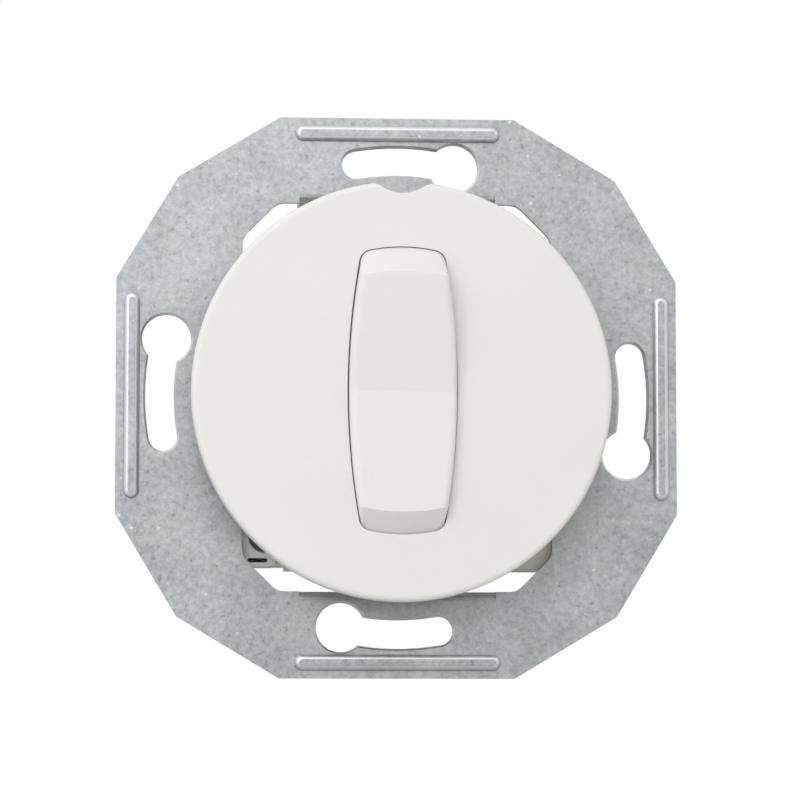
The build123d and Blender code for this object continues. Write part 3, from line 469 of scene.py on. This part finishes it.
# The rocker swings on an axle below its face, so its ends and the window's end walls are arcs about that
# axle here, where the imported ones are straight: length squared and height squared add up to one radius
rockerFit = {
    "pivot": 5.5, "tilt": 3.0, "lip": 4.5, "windowRadius": 19.6, "windowHalf": 17.95, "windowSide": 6.9,
    "wallReach": 0.3, "wallTop": 0.1, "wallFoot": 1.8, "oldGap": 0.32, "newGap": 0.09, "fadeFrom": 14.5,
    "fadeTo": 16.6, "widen": 0.05, "sideFrom": 4.5, "sideTo": 6.2, "endFade": 0.5, "endRise": 0.1, "endFacing": 0.6,
}


# The disc's points and corner normals with the edge rolled to its smaller size
def shrinkRoll(points, corners, normals):
    reach = np.hypot(points[:, 0], points[:, 2]) / millimetre
    inward = discRoll["radius"] - reach
    deep = discRoll["front"] + points[:, 1] / millimetre
    across, down = 1.0 - inward / discRoll["width"], 1.0 - deep / discRoll["height"]
    rolled = np.abs(np.hypot(across, down) - 1.0) < discRoll["miss"]
    rolled &= (across > -discRoll["margin"]) & (down > -discRoll["margin"])
    kept = discRoll["kept"]
    width, tall = discRoll["width"] * kept, discRoll["height"] * kept
    away = softStep(np.abs(points[:, 0]) / millimetre, discRoll["notchFrom"], discRoll["notchTo"])
    away = np.where(points[:, 2] > 0, away, 1.0)
    newReach = np.where(rolled, discRoll["radius"] - inward * (kept * away + 1.0 - away), reach)
    outward = np.clip(1.0 - (discRoll["radius"] - newReach) / width, 0.0, 1.0)
    lowered = tall * (1.0 - np.sqrt(1.0 - outward**2))
    newDepth = np.where(rolled, lowered, deep)
    # the roll's corner normals are the smaller ellipse's
    radial, front = outward / width, (1.0 - lowered / tall) / tall
    size = np.hypot(radial, front)
    spokes = points[:, [0, 2]] / np.maximum(np.hypot(points[:, 0], points[:, 2]), 1e-9)[:, None]
    turned = np.stack([spokes[:, 0] * radial / size, -front / size, spokes[:, 1] * radial / size], axis=-1)
    facing = rolled[corners] & (normals[:, 1] < -discRoll["miss"])
    normals = np.where(facing[:, None], turned[corners], normals)
    scale = newReach / np.maximum(reach, 1e-6)
    depth = (newDepth - discRoll["front"]) * millimetre
    return np.stack([points[:, 0] * scale, depth, points[:, 2] * scale], axis=-1), normals


# How much longer each of the disc's points lies when the window's end walls become arcs about the axle
def bendWindow(points):
    side, length = np.abs(points[:, 0]) / millimetre, np.abs(points[:, 2]) / millimetre
    height = -points[:, 1] / millimetre - rockerFit["pivot"]
    fromCentre = np.hypot(side, length - rockerFit["windowHalf"] + rockerFit["windowRadius"])
    wall = (fromCentre < rockerFit["windowRadius"] + rockerFit["wallReach"]) & (side < rockerFit["windowSide"])
    wall &= (height < rockerFit["lip"] - rockerFit["wallTop"]) & (height > rockerFit["wallFoot"])
    longer = np.sqrt(np.maximum(length**2 + rockerFit["lip"] ** 2 - height**2, 0.0)) - length
    fade = softStep(length, rockerFit["fadeFrom"], rockerFit["fadeTo"])
    return np.where(wall, np.sign(points[:, 2]) * longer * fade * millimetre, 0.0)


def makeDisc():
    points, triangles, normals = readNode("cover_disc")
    points, normals = shrinkRoll(points, triangles.ravel(), normals.reshape(-1, 3))
    points[:, 2] += bendWindow(points)
    addPiece("coverDisc", points, triangles.tolist(), "body", "cover_plastic", "cover_disc", normals)


# Depth and height of the object as height over the axle and length along the rocker, which leans
def toRocker(back, up):
    lean = math.radians(rockerFit["tilt"])
    return -back * math.cos(lean) - up * math.sin(lean), -back * math.sin(lean) + up * math.cos(lean)


# The same the other way round
def fromRocker(height, along):
    lean = math.radians(rockerFit["tilt"])
    return -height * math.cos(lean) - along * math.sin(lean), along * math.cos(lean) - height * math.sin(lean)


def makeButton():
    points, triangles, normals = readNode("rocker_button")
    height, along = toRocker(points[:, 1] / millimetre + rockerFit["pivot"], points[:, 2] / millimetre)
    length = np.abs(along)
    reach = np.sqrt((length + rockerFit["oldGap"]) ** 2 + rockerFit["lip"] ** 2) - rockerFit["newGap"]
    fade = softStep(length, rockerFit["fadeFrom"], rockerFit["fadeTo"])
    arc = np.sqrt(np.maximum(reach**2 - height**2, 0.0))
    length = length + (arc - length) * fade
    side = np.abs(points[:, 0]) / millimetre
    side += rockerFit["widen"] * softStep(side, rockerFit["sideFrom"], rockerFit["sideTo"])
    back, up = fromRocker(height, np.sign(along) * length)
    points[:, 0] = np.sign(points[:, 0]) * side * millimetre
    points[:, 1] = (back - rockerFit["pivot"]) * millimetre
    points[:, 2] = up * millimetre
    # the corner normals of the end walls lean with the arc
    corners = triangles.ravel()
    flat = normals.reshape(-1, 3)
    normalUp, normalAlong = toRocker(flat[:, 1], flat[:, 2])
    endWall = (fade[corners] > rockerFit["endFade"]) & (np.abs(normalUp) < rockerFit["endRise"])
    endWall &= np.abs(normalAlong) > rockerFit["endFacing"]
    normalUp = np.where(endWall, height[corners] / length[corners], normalUp)
    leaned = np.stack([flat[:, 0], *fromRocker(normalUp, normalAlong)], axis=-1)
    leaned /= np.linalg.norm(leaned, axis=1)[:, None]
    addPiece("rockerKey", points, triangles.tolist(), "rocker", "cover_plastic", "rocker_button", leaned)


# Left release lever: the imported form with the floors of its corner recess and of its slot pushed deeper
leverHollow = {
    "recessFloor": 2.0, "recessDepth": 5.2, "slotFloor": 2.4, "slotDepth": 5.2, "left": -18.75, "right": -15.25,
    "bottom": -19.75, "top": -15.45, "slotTop": -20.3,
}


def makeLever():
    points, triangles, normals = readNode("release_lever_left")
    across, deep, up = (points / millimetre).T
    recess = (across > leverHollow["left"]) & (across < leverHollow["right"])
    recess &= (up > leverHollow["bottom"]) & (up < leverHollow["top"])
    recess &= np.abs(deep - leverHollow["recessFloor"]) < touching
    slot = (up < leverHollow["slotTop"]) & (np.abs(deep - leverHollow["slotFloor"]) < touching)
    points[recess, 1] = leverHollow["recessDepth"] * millimetre
    points[slot, 1] = leverHollow["slotDepth"] * millimetre
    addPiece(
        "releaseLeverLeft", points, triangles.tolist(), "lever_left", "lever_plastic", "release_lever_left", normals
    )


# Claw screws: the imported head, and a thread in place of the plain shank. At a height and an angle the
# radius is the crest's, less the depth times how far the point is from the ridge, which climbs one pitch
# a turn; the thread runs in under the head and out at the point
screwThread = {
    "crest": 1.5, "depth": 0.26, "pitch": 0.5, "rowsPerTurn": 8, "runIn": 0.6, "point": 0.55, "shankFrom": -1.2,
    "shankMiss": 0.01, "flankEnd": 0.9, "flank": 0.8,
}


def threadRadius(along, angle, length):
    phase = np.mod(along / (screwThread["pitch"] * millimetre) + angle / (2 * math.pi), 1.0)
    ridge = np.clip((screwThread["flankEnd"] - np.abs(2 * phase - 1)) / screwThread["flank"], 0.0, 1.0)
    runIn = np.clip(along / (screwThread["runIn"] * millimetre), 0.0, 1.0)
    radius = screwThread["crest"] - screwThread["depth"] * (1 - ridge) * runIn
    taper = np.maximum(screwThread["point"] * millimetre - (length - along), 0.0)
    return np.minimum(radius * millimetre, screwThread["crest"] * millimetre - taper)


# The points of a shell's one open edge, in order round its middle, and their angles
def openRim(triangles, across, up):
    sides = np.concatenate([triangles[:, [0, 1]], triangles[:, [1, 2]], triangles[:, [2, 0]]])
    sides, uses = np.unique(np.sort(sides, axis=1), axis=0, return_counts=True)
    rim = np.unique(sides[uses == 1])
    angle = np.arctan2(up[rim], across[rim])
    order = np.argsort(angle)
    return rim[order], angle[order]


def makeThread(word):
    node = f"claw_screw_{word}"
    points, triangles, _ = readNode(node)
    lowest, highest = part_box(node)
    middle = (lowest[0] + highest[0]) / 2
    across, up = points[:, 0] - middle, points[:, 2] - (lowest[2] + highest[2]) / 2
    shank = np.hypot(across, up) < (screwThread["crest"] + screwThread["shankMiss"]) * millimetre
    shank &= points[:, 1] > screwThread["shankFrom"] * millimetre
    neck = points[shank, 1].min()  # the underside of the head
    head = triangles[points[triangles][:, :, 1].max(axis=1) < neck + 1e-6]
    rim, angle = openRim(head, across, up)
    length = highest[1] - neck
    rows = int(length / (screwThread["pitch"] * millimetre) * screwThread["rowsPerTurn"])
    along = np.linspace(0.0, length, rows + 1)[1:, None]
    radius = threadRadius(along, angle[None, :], length)
    depth = np.broadcast_to(neck + along, radius.shape)
    thread = np.stack([middle + radius * np.cos(angle), depth, radius * np.sin(angle)], axis=-1).reshape(-1, 3)
    columns, tip = len(rim), len(points) + len(thread)
    grid = np.vstack([rim[None, :], len(points) + np.arange(rows * columns).reshape(rows, columns)])
    onward = np.roll(grid, -1, axis=1)
    quads = np.stack([grid[:-1], grid[1:], onward[1:], onward[:-1]], axis=-1).reshape(-1, 4)
    cap = np.stack([grid[-1], np.full(columns, tip), onward[-1]], axis=-1)
    allPoints = np.vstack([points, thread, [[middle, highest[1], 0.0]]])
    used = np.unique(np.concatenate([head.ravel(), quads.ravel(), cap.ravel()]))
    faces = sum((np.searchsorted(used, part).tolist() for part in (head, quads, cap)), [])
    addPiece(f"clawScrew{word.capitalize()}", allPoints[used], faces, node, "screw_steel", node)


def makeSpring(name, node, body):
    points, triangles, normals = readNode(node)
    piece = addPiece(name, points, triangles.tolist(), body, "spring_steel", node, normals)
    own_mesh(piece)


makeRing()
makeDisc()
makeButton()
makeLever()
for word in ("left", "right"):
    makeThread(word)
makeSpring("contactCoil", "contact_spring", "rocker")
for word in ("left", "right"):
    for place in ("upper", "lower"):
        made = f"clampLeaf{place.capitalize()}{word.capitalize()}"
        makeSpring(made, f"clamp_spring_{place}_{word}", "body")
print("ring, cover disc, rocker, lever, claw screws and springs made")


# A pale floor under the object, seen through from below
studioLook = {
    "floorHalf": 1.5, "floorGap": 0.0002, "floorColour": (0.80, 0.80, 0.79), "floorMottle": (0.78, 0.78, 0.77),
    "floorPatch": 60.0, "floorRoughness": 0.7, "roomLight": 0.77, "roomBehind": 0.30, "dimFrom": -0.2, "dimTo": 0.6,
    "lampPower": 1.95, "lampSize": 0.42, "lampDistance": 0.70, "lampHeight": 29.0, "lampSide": -25.0,
}


def makeFloor():
    half = studioLook["floorHalf"]
    level = cadBox[0].z - studioLook["floorGap"]
    corners = [(-half, -half, level), (half, -half, level), (half, half, level), (-half, half, level)]
    mesh = bpy.data.meshes.new("floor")
    mesh.from_pydata(corners, [], [(0, 1, 2, 3)])
    floor = bpy.data.objects.new("floor", mesh)
    bpy.context.scene.collection.objects.link(floor)
    made, tree, vector = startMaterial("floorPaint")
    mottle = spread(tree, noiseOfSize(tree, vector, studioLook["floorPatch"]), 0.35, 0.65)
    colour = blendColours(tree, mottle, studioLook["floorColour"], studioLook["floorMottle"])
    shader = addNode(
        tree, "ShaderNodeBsdfPrincipled", {"Base Color": colour, "Roughness": studioLook["floorRoughness"]}
    )
    clear = tree.nodes.new("ShaderNodeBsdfTransparent")
    seen = tree.nodes.new("ShaderNodeLightPath").outputs["Is Camera Ray"]
    below = tree.nodes.new("ShaderNodeNewGeometry").outputs["Backfacing"]
    hide = sums(tree, "MULTIPLY", seen, below)
    mixed = addNode(tree, "ShaderNodeMixShader", {0: hide, 1: shader.outputs[0], 2: clear.outputs[0]})
    addNode(tree, "ShaderNodeOutputMaterial", {"Surface": mixed.outputs[0]})
    mesh.materials.append(made)


# Light from all round that dims behind the object; camera, gloss and glass see plain white
def makeRoom():
    room = bpy.data.worlds.new("room")
    bpy.context.scene.world = room
    room.use_nodes = True
    tree = room.node_tree
    tree.nodes.clear()
    path = tree.nodes.new("ShaderNodeLightPath").outputs
    seen = sums(tree, "MAXIMUM", path["Is Camera Ray"], path["Is Glossy Ray"])
    seen = sums(tree, "MAXIMUM", seen, path["Is Transmission Ray"])
    towards = tree.nodes.new("ShaderNodeTexCoord").outputs["Generated"]
    depth = addNode(tree, "ShaderNodeSeparateXYZ", {0: towards}).outputs["Y"]
    light = [studioLook[key] for key in ("dimFrom", "dimTo", "roomLight", "roomBehind")]
    strength = blendValues(tree, seen, spread(tree, depth, *light, soft=True), 1.0)
    sky = addNode(tree, "ShaderNodeBackground", {"Color": (1.0, 1.0, 1.0, 1.0), "Strength": strength})
    addNode(tree, "ShaderNodeOutputWorld", {"Surface": sky.outputs[0]})


# Direction from the object to a place, by degrees to the right and upwards from the front
def directionTo(side, height):
    across, up = math.radians(side), math.radians(height)
    return Vector((math.sin(across) * math.cos(up), -math.cos(across) * math.cos(up), math.sin(up)))


def makeLamp():
    data = bpy.data.lights.new("softbox", "AREA")
    data.shape = "SQUARE"
    data.size = studioLook["lampSize"]
    data.energy = studioLook["lampPower"]
    lamp = bpy.data.objects.new("softbox", data)
    bpy.context.scene.collection.objects.link(lamp)
    towards = directionTo(studioLook["lampSide"], studioLook["lampHeight"])
    lamp.location = towards * studioLook["lampDistance"]
    lamp.rotation_mode = "QUATERNION"
    lamp.rotation_quaternion = towards.to_track_quat("Z", "Y")


# The camera looks from a little left and below, as the picture was taken
cameraPlace = {
    "side": -4.3, "height": -5.3, "distance": 0.5, "target": (0.000405, 0.0, -0.000316),
    "metresPerPixel": 0.00012656, "imagePixels": 800, "sensor": 36.0, "nearest": 0.01, "farthest": 20.0,
}


def makeCamera():
    data = bpy.data.cameras.new("camera")
    data.sensor_width = cameraPlace["sensor"]
    width = cameraPlace["metresPerPixel"] * cameraPlace["imagePixels"]
    data.lens = cameraPlace["distance"] / width * cameraPlace["sensor"]
    data.clip_start = cameraPlace["nearest"]
    data.clip_end = cameraPlace["farthest"]
    camera = bpy.data.objects.new("camera", data)
    bpy.context.scene.collection.objects.link(camera)
    towards = directionTo(cameraPlace["side"], cameraPlace["height"])
    camera.location = Vector(cameraPlace["target"]) + towards * cameraPlace["distance"]
    camera.rotation_mode = "QUATERNION"
    camera.rotation_quaternion = towards.to_track_quat("Z", "Y")
    bpy.context.scene.camera = camera


makeFloor()
makeRoom()
makeLamp()
makeCamera()
bpy.context.scene.view_settings.view_transform = "Standard"
print("floor, room, lamp and camera made")
